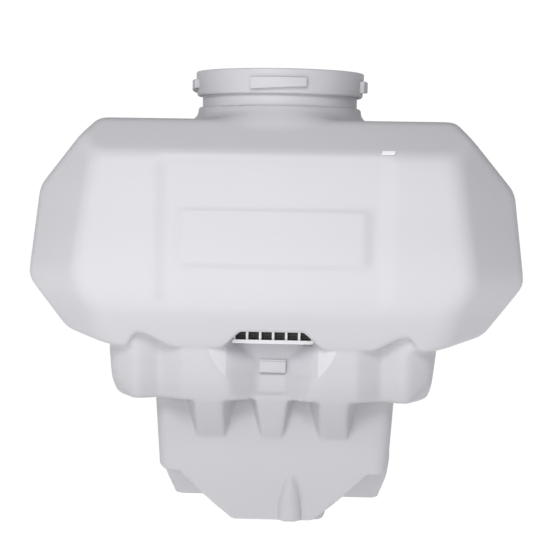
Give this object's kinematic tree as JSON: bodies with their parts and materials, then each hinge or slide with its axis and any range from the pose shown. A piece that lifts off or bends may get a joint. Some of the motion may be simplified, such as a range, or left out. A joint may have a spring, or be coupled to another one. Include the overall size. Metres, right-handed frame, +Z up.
{
  "type": "plug-in liquid tank",
  "caption": "T-shaped blow-moulded liquid tank with a wide bayonet filler neck, ribbed carrying grips, hopper bottom, bottom outlet with check valve and float gauge.",
  "frame": {"origin": "centre of the base of the bounding box", "axes": "+X to the right along the longest side, -Y is the front, +Z up along the filler neck"},
  "size_m": [0.4688, 0.25, 0.433],
  "materials": {
    "hdpe": "satin",
    "white_plastic": "satin",
    "white_film": "gloss",
    "black_plastic": "satin",
    "rubber": "matte",
    "steel": "satin",
    "steel_mesh": "satin",
    "magnet": "satin"
  },
  "bodies": {
    "tank": {"shell_neck": "hdpe", "shell_lobe_front": "hdpe", "shell_lobe_rear": "hdpe", "shell_lobe_left": "hdpe", "shell_lobe_right": "hdpe", "shell_middle_front": "hdpe", "shell_middle_rear": "hdpe", "shell_middle_left": "hdpe", "shell_middle_right": "hdpe", "shell_lower_front": "hdpe", "shell_lower_rear": "hdpe", "shell_lower_left": "hdpe", "shell_lower_right": "hdpe", "shell_base": "hdpe", "neck_collar": "white_plastic", "collar_seal": "rubber", "front_grip": "white_plastic", "rear_grip": "white_plastic", "mark_plate": "white_film", "outlet_socket": "black_plastic", "outlet_gasket": "rubber", "outlet_nut": "black_plastic", "probe_ring_low": "rubber", "probe_ring_high": "rubber", "valve_spring": "steel", "spring_retainer": "white_plastic", "gauge_stem": "white_plastic", "gauge_seal": "rubber", "gauge_nut": "black_plastic", "gauge_clip": "steel"},
    "strainer": {"strainer_rim": "white_plastic", "strainer_posts": "white_plastic", "strainer_base": "white_plastic", "strainer_mesh": "steel_mesh"},
    "bail": {"strainer_bail": "steel"},
    "poppet": {"valve_poppet": "white_plastic", "poppet_seal": "rubber"},
    "float": {"gauge_float": "black_plastic", "float_magnet": "magnet"}
  },
  "joints": [
    {"name": "strainer_lift", "type": "slide", "parent": "tank", "child": "strainer", "axis": [0, 0, 1], "range_m": [0, 0.12]},
    {"name": "bail_swing", "type": "hinge", "parent": "strainer", "child": "bail", "pos_m": [0, 0, 0.423], "axis": [1, 0, 0], "range_deg": [-80, 180]},
    {"name": "poppet_lift", "type": "slide", "parent": "tank", "child": "poppet", "axis": [0, 0, 1], "range_m": [0, 0.004], "stiffness_N_per_m": 400, "springref_m": -0.005, "deforming": ["valve_spring"]},
    {"name": "float_rise", "type": "slide", "parent": "tank", "child": "float", "axis": [0, 0, 1], "range_m": [0, 0.236]}
  ]
}
